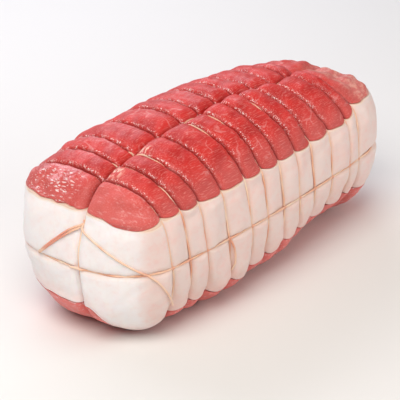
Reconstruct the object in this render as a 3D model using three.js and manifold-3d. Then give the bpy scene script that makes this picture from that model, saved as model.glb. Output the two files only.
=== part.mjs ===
// Raw beef roasting joint: a lean body with a belt of white fat round its sides and ends,
// tied with butcher's twine. Millimetres, +Z up, +X along the length, floor at z = 0.
import * as THREE from 'three';
import { mergeVertices } from 'three/addons/utils/BufferGeometryUtils.js';
import Module from 'manifold-3d';

const wasm = await Module();
wasm.setup();

// Overall form
const nearEnd = -155.9;          // crown of the end face with the knot
const farEnd = 158.7;            // crown of the other one
const halfWidth = 60.5;          // at mid length
const widthTaper = 5.3;          // narrower towards the far end
const widthBarrel = 7.7;         // narrower towards both ends
const lowNarrowing = 6.5;        // and towards the underside
const tieHeight = 53;            // level of the twine that runs round the sides
const domeRise = 68.8;           // from that level to the top at mid length
const domeTaper = 5.2;           // lower towards the far end
const domeBarrel = 22;           // lower towards both ends
const sag = 54.5;                // from that level down to just under the floor
const spanUnit = 140;            // length over which the tapers are measured
const spanLimit = 1.2;           // how many of those lengths the tapers run on for
const endCrown = 14;             // how far the end faces bulge
const farTuck = 9;               // the far end draws in by this much at the underside
const nearRound = 26;            // upright corners of the near end
const farRound = 44;             // and of the far end
const topRound = 7;              // rim of the top at both ends
const lowRound = 36;             // rim of the underside at both ends

// Powers of the super-ellipse across the joint: 2 is an ellipse, more is squarer
const domePower = 2.7;
const domeEndPower = 1;          // added towards both ends
const lowPower = 3.2;
const lobePower = 1;             // added over the hanging lobe
const farPower = 0.6;            // taken off at the far end
const farStretch = [81, 121];    // where it is taken off, along the length
const waistPower = 1.1;          // taken off along the far half, where the underside is slimmer
const waistStart = [0, 45];      // comes in over this stretch
const waistStop = [112, 92];     // and goes again over this one

// Lobe of fat that hangs to the table, right of the near end
const lobeAlong = [-109, -129];
const lobeAcross = [-16, -34];

// Crease along the top, cleft down each end
const creaseY = -8;
const creaseNear = -5.5;         // it bends this far aside at the near end
const creaseNearAlong = [-60, -110];
const creaseFar = 11;            // and at the far end
const creaseFarAlong = [50, 100];
const creaseReach = 14;
const creaseDepth = 8.5;
const cleftReach = 8;
const cleftDepth = 10;
const cleftShallow = 5;          // where the fat is pulled flat by the twine
const keelDepth = 5.5;           // groove of the lengthwise tie under the joint
const cleftStart = 24;           // the crease turns into a cleft this far inside spanUnit
const cleftFull = 8;
const pulledHeight = 61;         // middle of the flat stretch, and half its height
const pulledReach = 22;

// Ties: where the twelve hoops cross the side tie
const hoops = [-116.5, -99.7, -83.3, -60.9, -37.2, -19.4, -0.9, 17.9, 36.0, 58.6, 81.6, 94.9];
const hoopLean = 0.13;           // they lean this much towards the near end, per mm of height
const leanFade = 0.0006;         // and less towards the far end, per mm of length
const hoopReach = 12;            // how far the last pillows run past the outer hoops
const leanPinch = 5.5;           // depth of a hoop's groove in the lean
const fatPinch = 2.6;            // and in the fat
const pinchBelowEdge = 3;        // the groove deepens from here to there past the belt's edge
const pinchPastEdge = 7;
const sideTieReach = 7;          // half the width of the side tie's groove
const sideTieSink = 0.3;         // that groove is this much deeper than the hoops' grooves
const grooveFlat = 1.8;          // half the width of a groove's floor
const twineRadius = 0.95;
const twineSides = 5;
const twineLift = 2.4;           // twine's centre above the floor of its groove
const strandLift = 2.5;          // and where it lies loose on the fat
const sliver = 0.16;             // detail smaller than this is dropped where twines fuse

// Fat belt
const beltThickness = 7.7;
const beltGap = 0.3;
const wallReach = 12;            // the wall behind the fat stays this far out, less its depth
const lowGap = 0.2;              // added at the inner corner of its lower edge
const beltTop = 86.5;            // height of its top edge at mid length
const beltSlope = 1.1;           // lower towards the far end
const farRise = 6;               // but climbing round the far end
const farRiseAlong = [81, 99];
const nearRise = 1.6;            // and across the near end
const nearRiseAlong = [-122, -146];
const cornerDip = 4.4;           // the top edge dips at the near right corner
const cornerAlong = [-112, -136];
const cornerAcross = [-25, -50];
const beltBottom = 17;           // height of its lower edge at a pillow's crown
const farLift = 9;               // higher towards the far end
const farLiftAlong = [-60, 30];
const nearLift = 8;              // and at the near end
const nearLiftAlong = [-118, -142];
const beltScallop = 3;           // higher at the hoops
const lobeBottom = 6.5;          // lower edge of the hanging lobe

// Mesh: columns along a spine between these, fanned out beyond them
const spineNear = -120.6;
const spineFar = 105.4;
const longPillow = 13;           // pillows longer than this take two columns
const longMarks = [0.32, 0.68];
const shortMarks = [0.5];
const halvings = 40;             // of the search for the surface

const clamp = (v, low, high) => Math.min(Math.max(v, low), high);
const mix = (a, b, w) => a + (b - a) * w;

function ramp(from, to, v) {
  const t = clamp((v - from) / (to - from), 0, 1);
  return t * t * (3 - 2 * t);
}

// 1 where the hanging lobe is, 0 away from it
const lobeAt = (x, y) => ramp(...lobeAlong, x) * ramp(...lobeAcross, y);

// Distance-like value of the untied, uncreased body: below 0 inside
function body(x, y, z) {
  const t = clamp(x / spanUnit, -spanLimit, spanLimit);
  const rise = z - tieHeight;
  const away = clamp(rise > 0 ? rise / domeRise : -rise / sag, 0, 1) ** 2;
  const low = rise < 0 ? away : 0;
  const width = halfWidth - widthTaper * t - widthBarrel * t * t - lowNarrowing * low;
  const upper = domePower + domeEndPower * t * t;
  const waist = ramp(...waistStart, x) * ramp(...waistStop, x);
  const slimmer = farPower * ramp(...farStretch, x) + waistPower * waist;
  const lower = lowPower + lobePower * lobeAt(x, y) - slimmer;
  const power = rise > 0 ? upper : lower;
  const height = rise > 0 ? domeRise - domeTaper * t - domeBarrel * t * t : sag;
  const across = (Math.abs(y / width) ** power + Math.abs(rise / height) ** power) ** (1 / power);
  const side = (across - 1) * width;
  const past = x < 0 ? nearEnd - x : x - farEnd + farTuck * low;
  const end = past + endCrown * Math.min(across, spanLimit) ** 2;
  const round = mix(x < 0 ? nearRound : farRound, rise > 0 ? topRound : lowRound, away);
  if (side <= -round || end <= -round) {
    return Math.max(side, end);
  }
  return Math.hypot(side + round, end + round) - round;
}

// 1 in the floor of a groove, falling to 0 at its reach
function valley(offset, reach) {
  const v = clamp((Math.abs(offset) - grooveFlat) / (reach - grooveFlat), 0, 1);
  return (1 - v) ** 2;
}

// 1 at a hoop, 0 at the crown of the pillow between two hoops
function pinch(u) {
  let nearest = Infinity;
  let reach = hoopReach;
  for (let i = 0; i < hoops.length; i += 1) {
    const offset = Math.abs(u - hoops[i]);
    if (offset < nearest) {
      const neighbour = u < hoops[i] ? hoops[i - 1] : hoops[i + 1];
      nearest = offset;
      reach = neighbour === undefined ? hoopReach : Math.abs(neighbour - hoops[i]) / 2;
    }
  }
  const s = clamp((nearest - grooveFlat) / (reach - grooveFlat), 0, 1);
  return 1 - Math.sqrt(1 - (1 - s) ** 2);
}

function beltEdges(u, x, y) {
  const corner = cornerDip * ramp(...cornerAlong, x) * ramp(...cornerAcross, y);
  const raised = farRise * ramp(...farRiseAlong, u) + nearRise * ramp(...nearRiseAlong, x);
  const top = beltTop - beltSlope * x / spanUnit + raised - corner;
  const lift = farLift * ramp(...farLiftAlong, x) + nearLift * ramp(...nearLiftAlong, x);
  const bottom = mix(beltBottom + lift + beltScallop * pinch(u), lobeBottom, lobeAt(x, y));
  return { top, bottom };
}

// Place along the joint, measured in the slant of the hoops, and back again
const alongHoops = (x, z) => {
  const rise = z - tieHeight;
  return (x + hoopLean * rise) / (1 + leanFade * rise);
};

const slanted = (u, z) => u - (hoopLean - leanFade * u) * (z - tieHeight);

// Where the crease lies across the joint
const creaseLine = (u) => {
  const near = creaseNear * ramp(...creaseNearAlong, u);
  const far = creaseFar * ramp(...creaseFarAlong, u);
  return creaseY + near + far;
};

// Depth of the creases that lie along the joint: top, ends and underside
function crease(x, y, z) {
  const atEnd = ramp(spanUnit - cleftStart, spanUnit - cleftFull, Math.abs(x));
  const pulled = Math.exp(-(((z - pulledHeight) / pulledReach) ** 2));
  const endDepth = mix(cleftDepth, cleftShallow, pulled);
  const depth = mix(z > tieHeight ? creaseDepth : keelDepth, endDepth, atEnd);
  const reach = mix(z > tieHeight ? creaseReach : cleftReach, cleftReach, atEnd);
  return { depth, weight: valley(y - creaseLine(alongHoops(x, z)), reach) };
}

// The finished surface: 0 on it, below 0 inside
function tied(x, y, z) {
  const u = alongHoops(x, z);
  const { top, bottom } = beltEdges(u, x, y);
  const above = ramp(top - pinchBelowEdge, top + pinchPastEdge, z);
  const below = ramp(bottom + pinchBelowEdge, bottom - pinchPastEdge, z);
  const inPillow = mix(fatPinch, leanPinch, above + below) * pinch(u);
  const fold = crease(x, y, z);
  const folded = mix(inPillow, fold.depth, fold.weight);
  const belted = valley(z - tieHeight, sideTieReach);
  const depth = mix(folded, Math.max(folded, fatPinch + sideTieSink), belted);
  return Math.max(body(x, y, z) + depth, -z);
}

// The same surface without the grooves of the twine, for the inside of the belt
function untied(x, y, z) {
  const fold = crease(x, y, z);
  return Math.max(body(x, y, z) + fold.depth * fold.weight, -z);
}

// Where a path that starts inside leaves a surface
function leave(surface, path) {
  let inside = 0;
  let outside = farEnd - nearEnd;
  for (let i = 0; i < halvings; i += 1) {
    const middle = (inside + outside) / 2;
    if (surface(...path(middle)) < 0) {
      inside = middle;
    } else {
      outside = middle;
    }
  }
  return inside;
}

// A column is a half plane that stands on the spine; it leans as the hoops do
const column = (u, turn) => ({ u, alongX: Math.cos(turn), alongY: Math.sin(turn) });

function columnPoint(at, height, reach) {
  const x = slanted(at.u, height) + reach * at.alongX;
  return [x, creaseLine(at.u) + reach * at.alongY, height];
}

const atHeight = (at, height) => (reach) => columnPoint(at, height, reach);

function atElevation(at, angle) {
  return (reach) => columnPoint(at, tieHeight + reach * Math.sin(angle), reach * Math.cos(angle));
}

// Stations along one side: both edges of each groove, and two on each pillow
function sideStations() {
  const stations = [];
  hoops.forEach((hoop, i) => {
    stations.push(hoop - grooveFlat, hoop + grooveFlat);
    if (i + 1 < hoops.length) {
      const gap = hoops[i + 1] - hoop;
      const marks = gap > longPillow ? longMarks : shortMarks;
      marks.forEach((mark) => stations.push(hoop + mark * gap));
    }
  });
  stations.push(spineFar);
  return stations;
}

// Columns that fan out round an end, in degrees either side of its middle
const nearFan = [3.2, 13, 26, 40, 53, 66, 78];
const farFan = [2.3, 11, 24, 38, 52, 65, 78];

function fanColumns(u, middle, fan) {
  const angles = [...fan.map((angle) => -angle).reverse(), 0, ...fan];
  return angles.map((angle) => column(u, THREE.MathUtils.degToRad(middle + angle)));
}

// All columns in order: along -Y, round the far end, back along +Y, round the near end
function allColumns() {
  const stations = sideStations();
  const right = stations.map((u) => column(u, -Math.PI / 2));
  const left = stations.map((u) => column(u, Math.PI / 2)).reverse();
  const far = fanColumns(spineFar, 0, farFan);
  const near = fanColumns(spineNear, 180, nearFan);
  return [...right, ...far, ...left, ...near];
}

const columns = allColumns();

// Level marks of the lean, as shares of the way from the belt's edge to the ridge or the keel
const upperMarks = [0.15, 0.33, 0.51, 0.69, 0.85, 0.965, 1];
const lowerMarks = [1, 0.84, 0.6, 0.28];

// Level marks of the belt, as shares of the way from an edge to the side tie's groove
const belowMarks = [0, 0.3, 0.65, 1];
const aboveMarks = [0, 0.5, 1];

function edgesOf(at) {
  const onSide = columnPoint(at, tieHeight, leave(untied, atHeight(at, tieHeight)));
  return beltEdges(at.u, onSide[0], onSide[1]);
}

function elevationMark(at, edge, mark) {
  const reach = leave(tied, atHeight(at, edge));
  const edgeAngle = Math.atan2(edge - tieHeight, reach);
  const end = edge > tieHeight ? Math.PI / 2 : -Math.PI / 2;
  return mix(edgeAngle, end, mark);
}

function onLean(at, edge, mark) {
  const path = atElevation(at, elevationMark(at, edge, mark));
  return path(leave(tied, path));
}

const onFat = (at, height) => columnPoint(at, height, leave(tied, atHeight(at, height)));

// A wall behind the fat, which stays behind the grooves where the underside curves in
function behindFat(at, height, depth) {
  const crown = leave(untied, atHeight(at, height));
  const groove = leave(tied, atHeight(at, height));
  const outside = Math.max(Math.min(crown, groove + beltThickness / 2), wallReach);
  return columnPoint(at, height, outside - depth);
}

// Levels of the belt: its edges, the two edges of the side tie's groove, and between
function beltHeights(edges) {
  const low = tieHeight - grooveFlat;
  const high = tieHeight + grooveFlat;
  const below = belowMarks.map((mark) => mix(edges.bottom, low, mark));
  const above = aboveMarks.map((mark) => mix(high, edges.top, mark));
  return [...below, ...above];
}

function meatColumn(at) {
  const edges = edgesOf(at);
  const low = edges.bottom - 2 * beltGap;   // twice, as the underside's edge is slanted
  const high = edges.top + beltGap;
  const depth = beltThickness + beltGap;
  return [
    ...lowerMarks.map((mark) => onLean(at, low, mark)),
    onFat(at, low),
    behindFat(at, edges.bottom - lowGap, depth + lowGap),
    ...[tieHeight, high].map((height) => behindFat(at, height, depth)),
    onFat(at, high),
    ...upperMarks.map((mark) => onLean(at, high, mark)),
  ];
}

function beltColumn(at) {
  const edges = edgesOf(at);
  const inner = [edges.top, tieHeight, edges.bottom];
  return [
    ...beltHeights(edges).map((height) => onFat(at, height)),
    ...inner.map((height) => behindFat(at, height, beltThickness)),
  ];
}

// Closed geometry from a ring of columns; closedLoop also joins each column's ends.
// Faces that run down, or close the loop, are split the other way from those that run up,
// so that facing walls stay parallel.
function skin(rows, closedLoop) {
  const count = rows.length;
  const levels = rows[0].length;
  const strips = closedLoop ? levels : levels - 1;
  const index = [];
  for (let c = 0; c < count; c += 1) {
    for (let level = 0; level < strips; level += 1) {
      const next = (c + 1) % count;
      const above = (level + 1) % levels;
      const [a, b] = [c * levels + level, next * levels + level];
      const [d, e] = [next * levels + above, c * levels + above];
      const turned = above === 0 || rows[c][above][2] < rows[c][level][2];
      index.push(...(turned ? [a, b, e, b, d, e] : [a, b, d, a, d, e]));
    }
  }
  const loose = new THREE.BufferGeometry();
  loose.setAttribute('position', new THREE.Float32BufferAttribute(rows.flat(2), 3));
  loose.setIndex(index);
  const merged = mergeVertices(loose, 1e-3);
  const corners = merged.index.array;
  const kept = [];
  for (let i = 0; i < corners.length; i += 3) {
    const [a, b, d] = corners.slice(i, i + 3);
    if (a !== b && b !== d && d !== a) {
      kept.push(a, b, d);
    }
  }
  merged.setIndex(kept);
  return merged;
}

// A path whose points are used just as they are given
class LaidTwine extends THREE.CatmullRomCurve3 {
  getUtoTmapping(u) {
    return u;
  }
}

function twineSection() {
  const points = [];
  for (let i = 0; i < twineSides; i += 1) {
    const angle = (i / twineSides) * 2 * Math.PI;
    points.push(new THREE.Vector2(twineRadius * Math.cos(angle), twineRadius * Math.sin(angle)));
  }
  return new THREE.Shape(points);
}

// A tied loop is a closed ring; a strand has two ends
function twineRing(points) {
  const path = new LaidTwine(points.map((point) => new THREE.Vector3(...point)), true);
  return new THREE.TubeGeometry(path, points.length, twineRadius, twineSides, true);
}

function twineStrand(points) {
  const path = new LaidTwine(points.map((point) => new THREE.Vector3(...point)));
  const options = { steps: points.length - 1, extrudePath: path };
  return new THREE.ExtrudeGeometry(twineSection(), options);
}

// Outward direction of the body at a point
function outward(point) {
  const nudge = 0.5;
  const slope = [0, 1, 2].map((axis) => {
    const ahead = [...point];
    const behind = [...point];
    ahead[axis] += nudge;
    behind[axis] -= nudge;
    return body(...ahead) - body(...behind);
  });
  const size = Math.hypot(...slope);
  return slope.map((s) => s / size);
}

function lifted(point, lift = twineLift) {
  const away = outward(point);
  return point.map((value, axis) => value + lift * away[axis]);
}

// Points up one column, from the keel to the ridge, in the grooves of the twine
const climbUnder = [1, 0.62, 0.28];
const climbAbove = [0.52, 1];
const climbOver = [0.28, 0.52, 0.78, 1];

function climb(at) {
  const edges = edgesOf(at);
  const heights = [
    ...belowMarks.map((mark) => mix(edges.bottom, tieHeight, mark)),
    ...climbAbove.map((mark) => mix(tieHeight, edges.top, mark)),
  ];
  return [
    ...climbUnder.map((mark) => onLean(at, edges.bottom, mark)),
    ...heights.map((height) => onFat(at, height)),
    ...climbOver.map((mark) => onLean(at, edges.top, mark)),
  ].map((point) => lifted(point));
}

function hoopPath(hoop) {
  const right = climb(column(hoop, -Math.PI / 2));
  const left = climb(column(hoop, Math.PI / 2)).reverse();
  return [...right, ...left.slice(1, -1)];
}

function sideTiePath() {
  const onSide = (at) => lifted(onFat(at, tieHeight));
  const right = [...hoops, spineFar].map((u) => onSide(column(u, -Math.PI / 2)));
  const left = [...hoops, spineFar].map((u) => onSide(column(u, Math.PI / 2))).reverse();
  const far = fanColumns(spineFar, 0, farFan).map(onSide);
  const near = fanColumns(spineNear, 180, nearFan).map(onSide);
  return [...right, ...far, ...left, ...near];
}

function lengthTiePath() {
  const upright = (angle) => (u) => {
    const path = atElevation(column(u, Math.PI / 2), angle);
    return lifted(path(leave(tied, path)));
  };
  const ridge = upright(Math.PI / 2);
  const keel = upright(-Math.PI / 2);
  const near = climb(column(spineNear, Math.PI)).slice(1, -1);
  const far = climb(column(spineFar, 0)).slice(1, -1).reverse();
  const top = [spineNear, ...hoops, spineFar].map(ridge);
  const under = [spineNear, ...hoops, spineFar].map(keel).reverse();
  return [...near, ...top, ...far, ...under];
}

// Knot, and loose ends tied across the near end: degrees from the end's middle, and height
const knotHeight = 80.5;
const knotLift = 3.6;
const knotRadius = 2;
const knotShape = [1, 1.3, 0.9];
const strandToRight = [
  [0, 80.5], [7, 79.5], [19, 76.9], [32, 73.2], [44, 68.4], [56, 62], [64, 57.5],
  [73, 52.4], [78, 48], [83, 40], [87, 32], [91, 25.4],
];
const strandToLeft = [
  [0, 80.5], [-7, 79.5], [-15, 76.8], [-22, 73.2], [-31, 66.9], [-37, 61.4], [-42, 56.6], [-47, 53],
];

function strandPath(marks) {
  return marks.map(([turn, height]) => {
    const at = column(spineNear, THREE.MathUtils.degToRad(180 + turn));
    return lifted(onFat(at, height), strandLift);
  });
}

function solidOf(geometry) {
  const bare = geometry.clone();
  bare.deleteAttribute('normal');
  bare.deleteAttribute('uv');
  const merged = mergeVertices(bare, 1e-3);
  const mesh = { numProp: 3, vertProperties: merged.attributes.position.array };
  mesh.triVerts = new Uint32Array(merged.index.array);
  return new wasm.Manifold(new wasm.Mesh(mesh));
}

function geometryOf(solid) {
  const mesh = solid.getMesh();
  const geometry = new THREE.BufferGeometry();
  geometry.setAttribute('position', new THREE.BufferAttribute(mesh.vertProperties, 3));
  geometry.setIndex(new THREE.BufferAttribute(mesh.triVerts, 1));
  return geometry;
}

// Fused into one body, without the slivers that a union leaves where twines cross
function joined(geometries) {
  const whole = geometries.map(solidOf).reduce((sum, piece) => sum.add(piece));
  return geometryOf(whole.simplify(sliver));
}

function knot() {
  const at = column(spineNear, Math.PI);
  const centre = lifted(onFat(at, knotHeight), knotLift);
  const bead = new THREE.SphereGeometry(knotRadius, 8, 6);
  bead.scale(...knotShape);
  bead.translate(...centre);
  return bead;
}

function twineGeometry() {
  const rings = [...hoops.map(hoopPath), sideTiePath(), lengthTiePath()];
  const strands = [strandToRight, strandToLeft].map(strandPath);
  return joined([...rings.map(twineRing), ...strands.map(twineStrand), knot()]);
}

// Finishes: moist lean, waxy fat, cotton
const leanFinish = { color: 0xc23a3e, roughness: 0.35 };
const fatFinish = { color: 0xf2e4dc, roughness: 0.5 };
const twineFinish = { color: 0xe3bd98, roughness: 0.9 };

function piece(name, geometry, finish) {
  const material = new THREE.MeshStandardMaterial({ ...finish, metalness: 0 });
  const mesh = new THREE.Mesh(geometry, material);
  mesh.name = name;
  return mesh;
}

const joint = new THREE.Group();
joint.add(piece('lean_meat', skin(columns.map(meatColumn), false), leanFinish));
joint.add(piece('fat_belt', skin(columns.map(beltColumn), true), fatFinish));
joint.add(piece('twine', twineGeometry(), twineFinish));

export default joint;
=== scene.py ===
import math

import bpy
import numpy as np
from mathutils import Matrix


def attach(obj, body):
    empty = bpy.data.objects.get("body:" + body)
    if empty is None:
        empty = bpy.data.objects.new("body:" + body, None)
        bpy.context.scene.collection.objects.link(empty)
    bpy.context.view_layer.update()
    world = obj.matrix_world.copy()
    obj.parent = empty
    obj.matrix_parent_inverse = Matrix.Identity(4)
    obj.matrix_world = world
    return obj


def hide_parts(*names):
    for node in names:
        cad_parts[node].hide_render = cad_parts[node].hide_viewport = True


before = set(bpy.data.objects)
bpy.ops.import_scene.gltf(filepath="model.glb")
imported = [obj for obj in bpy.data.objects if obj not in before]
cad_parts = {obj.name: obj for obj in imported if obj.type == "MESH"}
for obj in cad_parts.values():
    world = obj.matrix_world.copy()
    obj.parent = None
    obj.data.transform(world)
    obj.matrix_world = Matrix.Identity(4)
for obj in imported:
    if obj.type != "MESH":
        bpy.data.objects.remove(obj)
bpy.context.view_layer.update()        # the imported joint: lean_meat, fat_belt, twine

# A raw beef roasting joint: lean muscle, a belt of white fat, butcher's twine.
# The form is worked out in millimetres and turned to metres as each mesh is made.
mm = 0.001
turn = 2 * math.pi

body = {
    "nearEnd": -155.9, "farEnd": 158.7,             # crowns of the two ends
    "halfWidth": 60.5, "widthTaper": 5.3, "widthBarrel": 7.7, "lowNarrowing": 6.5,
    "tieHeight": 53.0,                              # level of the twine round the sides
    "domeRise": 68.8, "domeTaper": 5.2, "domeBarrel": 22.0,
    "sag": 54.5, "spanUnit": 140.0, "spanLimit": 1.2, "farTuck": 9.0,
    "endCrown": 14.0, "nearRound": 26.0, "farRound": 44.0, "topRound": 7.0, "lowRound": 36.0,
    # powers of the cross-section's curve and what changes them: 2 is round, more is squarer
    "domePower": 2.7, "domeEndPower": 1.0, "lowPower": 3.2, "lobePower": 1.0, "farPower": 0.6,
    "farStretch": (81, 121), "waistPower": 1.1, "waistStart": (0, 45), "waistStop": (112, 92),
    "lobeAlong": (-109, -129), "lobeAcross": (-16, -34),        # the near right lobe
    "spineNear": -120.6, "spineFar": 105.4,         # columns of the meshes stand between these
}
crease = {
    "y": -8.0, "near": -2.0, "nearAlong": (-60, -110), "far": 11.0, "farAlong": (50, 100),    # course
    "topDepth": 8.0, "topReach": 11.0, "topFlat": 0.5, "sharpness": 2.6,
    "cleftDepth": 10.0, "cleftShallow": 5.0, "cleftReach": 8.5, "keelDepth": 5.5,        # ends, underside
    "cleftStart": 24.0, "cleftFull": 8.0, "pulledHeight": 61.0, "pulledReach": 22.0,
    "meander": 1.1, "meanderSize": 17.0, "meanderNear": (-122, -104), "meanderFar": (118, 100),
}
tie = {
    "hoops": np.array([-116.5, -99.7, -83.3, -60.9, -37.2, -19.4, -0.9, 17.9, 36.0, 58.6, 81.6, 94.9]),
    "slant": 0.13, "slantFade": 0.0006, "lastPillow": 12.0, "noMore": 999.0,
    "leanDepth": 5.2, "leanFlat": 0.3, "sharpNear": 2.8, "sharpFar": 2.1, "sharpAlong": (-60, 60),
    "leanDeeperFar": (2.2, (-60, 70), (20, -30)), "leanDeeperLow": (2.0, (34, 18)),
    "fatDepth": 1.9, "fatDepthLow": 4.4, "fatLow": (50, 24), "fatFlat": 0.5,
    "fatPress": 0.45, "fatPressWidth": 1.7,
    "sideDepth": 1.9, "sideReach": 5.0, "sideFlat": 0.8,
    "edgeBelow": 3.0, "edgePast": 12.0,        # over which the fat's folds turn into the lean's
}
belt = {
    "thickness": 7.7, "gap": 0.3, "top": 86.5, "slope": 1.1,
    "farRise": 6.0, "farRiseAlong": (81, 99), "nearRise": 1.6, "nearRiseAlong": (-122, -146),
    "cornerDip": 4.4, "cornerAlong": (-112, -136), "cornerAcross": (-25, -50),
    "bottom": 17.0, "farLift": 9.0, "farLiftAlong": (-60, 30),
    "nearLift": 8.0, "nearLiftAlong": (-118, -142),
    "scallop": 5.0, "lobeBottom": 5.0, "topCusp": 1.3, "topUneven": 0.35, "bottomUneven": 0.6,
    "rim": 0.6, "wall": 12.0,        # wall: least reach from the spine, thickness included
}
pull = {        # where the twine has pulled the form in (or let it out): depth, then limits
    "leftFoot": (3.6, (-122, -148), (4, 34), (54, 34), (4, 26)),
    "farWaist": (4.2, (128, 150)), "farWaistHeight": 50.0, "farWaistReach": 9.0,
    "slackPair": (-2.8, (-86, -70), (-34, -50), (44, 20), (-20, -45)),
}


def ramp(start, stop, value):
    share = np.clip((value - start) / (stop - start), 0, 1)
    return share * share * (3 - 2 * share)


def mix(low, high, share):
    return low + (high - low) * share


def bell(middle, width, value):
    return np.exp(-(((value - middle) / width) ** 2))


# An amount limited to a region: each pair of limits is a ramp over one of the values
def patch(setting, *values):
    amount, *limits = setting
    for pair, value in zip(limits, values):
        amount = amount * ramp(*pair, value)
    return amount


# Smooth unevenness of about one given size in mm: sine waves in random directions
def waves(x, y, z, size, seed, count=9):
    draw = np.random.default_rng(seed)
    total = 0
    for _ in range(count):
        way = draw.normal(size=3)
        way = way / np.linalg.norm(way) * turn / (size * draw.uniform(0.7, 1.5))
        total = total + np.sin(x * way[0] + y * way[1] + z * way[2] + draw.uniform(0, turn))
    return total / math.sqrt(count / 2)


def lobeAt(x, y):
    return ramp(*body["lobeAlong"], x) * ramp(*body["lobeAcross"], y)


# Distance-like value of the untied body: below 0 inside
def bodyValue(x, y, z):
    t = np.clip(x / body["spanUnit"], -body["spanLimit"], body["spanLimit"])
    rise = z - body["tieHeight"]
    away = np.clip(np.where(rise > 0, rise / body["domeRise"], -rise / body["sag"]), 0, 1) ** 2
    low = np.where(rise < 0, away, 0)
    width = body["halfWidth"] - body["widthTaper"] * t - body["widthBarrel"] * t * t
    width = width - body["lowNarrowing"] * low
    upper = body["domePower"] + body["domeEndPower"] * t * t
    waist = ramp(*body["waistStart"], x) * ramp(*body["waistStop"], x)
    slimmer = body["farPower"] * ramp(*body["farStretch"], x) + body["waistPower"] * waist
    lower = body["lowPower"] + body["lobePower"] * lobeAt(x, y) - slimmer
    power = np.where(rise > 0, upper, lower)
    dome = body["domeRise"] - body["domeTaper"] * t - body["domeBarrel"] * t * t
    height = np.where(rise > 0, dome, body["sag"])
    across = (np.abs(y / width) ** power + np.abs(rise / height) ** power) ** (1 / power)
    side = (across - 1) * width
    past = np.where(x < 0, body["nearEnd"] - x, x - body["farEnd"] + body["farTuck"] * low)
    end = past + body["endCrown"] * np.minimum(across, body["spanLimit"]) ** 2
    corner = np.where(x < 0, body["nearRound"], body["farRound"])
    rounding = mix(corner, np.where(rise > 0, body["topRound"], body["lowRound"]), away)
    apart = (side <= -rounding) | (end <= -rounding)
    return np.where(apart, np.maximum(side, end), np.hypot(side + rounding, end + rounding) - rounding)


# Place along the joint, measured in the slant of the hoops, which wander a little
def alongHoops(x, y, z):
    wander = 0.9 * waves(0 * x, y, z, 70, 3, 5) * ramp(62, 90, z)
    rise = z - body["tieHeight"]
    return (x + tie["slant"] * rise) / (1 + tie["slantFade"] * rise) + wander


def slanted(u, height):
    return u - (tie["slant"] - tie["slantFade"] * u) * (height - body["tieHeight"])


hoopMiddles = (tie["hoops"][1:] + tie["hoops"][:-1]) / 2


# Distance to the nearest hoop, and how far that pillow reaches
def hoopGap(u):
    nearest = np.searchsorted(hoopMiddles, u)
    hoop = tie["hoops"][nearest]
    before = np.concatenate([[tie["lastPillow"]], np.diff(tie["hoops"]) / 2])
    after = np.concatenate([np.diff(tie["hoops"]) / 2, [tie["lastPillow"]]])
    return np.abs(u - hoop), np.where(u < hoop, before[nearest], after[nearest])


# How far the next hoop lies ahead
def hoopAhead(u):
    following = np.append(tie["hoops"], tie["noMore"])
    return following[np.searchsorted(tie["hoops"], u)] - u


# 1 in the floor of a fold, 0 at its reach; the sharper, the flatter the pillow beside it
def valley(offset, reach, flat, sharpness=2.0):
    share = np.clip((np.abs(offset) - flat) / (reach - flat), 0, 1)
    return 1 - (1 - (1 - share) ** sharpness) ** (1 / sharpness)


# 1 in the fold at a hoop, 0 at the crown of a pillow
def pinch(u, flat, sharpness=2.0):
    gap, reach = hoopGap(u)
    return valley(gap, reach, flat, sharpness)


def beltEdges(u, x, y):
    corner = belt["cornerDip"] * ramp(*belt["cornerAlong"], x) * ramp(*belt["cornerAcross"], y)
    climb = belt["farRise"] * ramp(*belt["farRiseAlong"], u)
    climb = climb + belt["nearRise"] * ramp(*belt["nearRiseAlong"], x)
    cusp = belt["topCusp"] * pinch(u, tie["leanFlat"])
    uneven = belt["topUneven"] * waves(x, y, 0 * x, 14, 11)
    top = belt["top"] - belt["slope"] * x / body["spanUnit"] + climb - corner + cusp + uneven
    scallop = belt["scallop"] * pinch(u, tie["leanFlat"])
    scallop = scallop + belt["bottomUneven"] * waves(x, y, 0 * x, 17, 12)
    lift = belt["farLift"] * ramp(*belt["farLiftAlong"], x)
    lift = lift + belt["nearLift"] * ramp(*belt["nearLiftAlong"], x)
    bottom = mix(belt["bottom"] + lift + scallop, belt["lobeBottom"], lobeAt(x, y))
    return top, bottom


# Where the crease lies across the joint
def creaseLine(u):
    near = crease["near"] * ramp(*crease["nearAlong"], u)
    return crease["y"] + near + crease["far"] * ramp(*crease["farAlong"], u)


def creaseFold(x, y, z):
    atEnd = ramp(body["spanUnit"] - crease["cleftStart"], body["spanUnit"] - crease["cleftFull"], np.abs(x))
    pulled = bell(crease["pulledHeight"], crease["pulledReach"], z)
    endDepth = mix(crease["cleftDepth"], crease["cleftShallow"], pulled)
    over = z > body["tieHeight"]
    depth = mix(np.where(over, crease["topDepth"], crease["keelDepth"]), endDepth, atEnd)
    reach = mix(np.where(over, crease["topReach"], crease["cleftReach"]), crease["cleftReach"], atEnd)
    u = alongHoops(x, y, z)
    step = crease["meander"] * np.sin(u / crease["meanderSize"] + 0.6)
    step = step * ramp(*crease["meanderNear"], u) * ramp(*crease["meanderFar"], u)
    return depth, valley(y - creaseLine(u) - step, reach, crease["topFlat"], crease["sharpness"])


# Hollows and bulges that the twine has pulled into the form, as depths
def pulledForm(x, y, z, u):
    waist = bell(pull["farWaistHeight"], pull["farWaistReach"], z)
    return (patch(pull["leftFoot"], x, y, z, z) + patch(pull["farWaist"], x) * waist
            + patch(pull["slackPair"], u, u, z, y))


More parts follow.
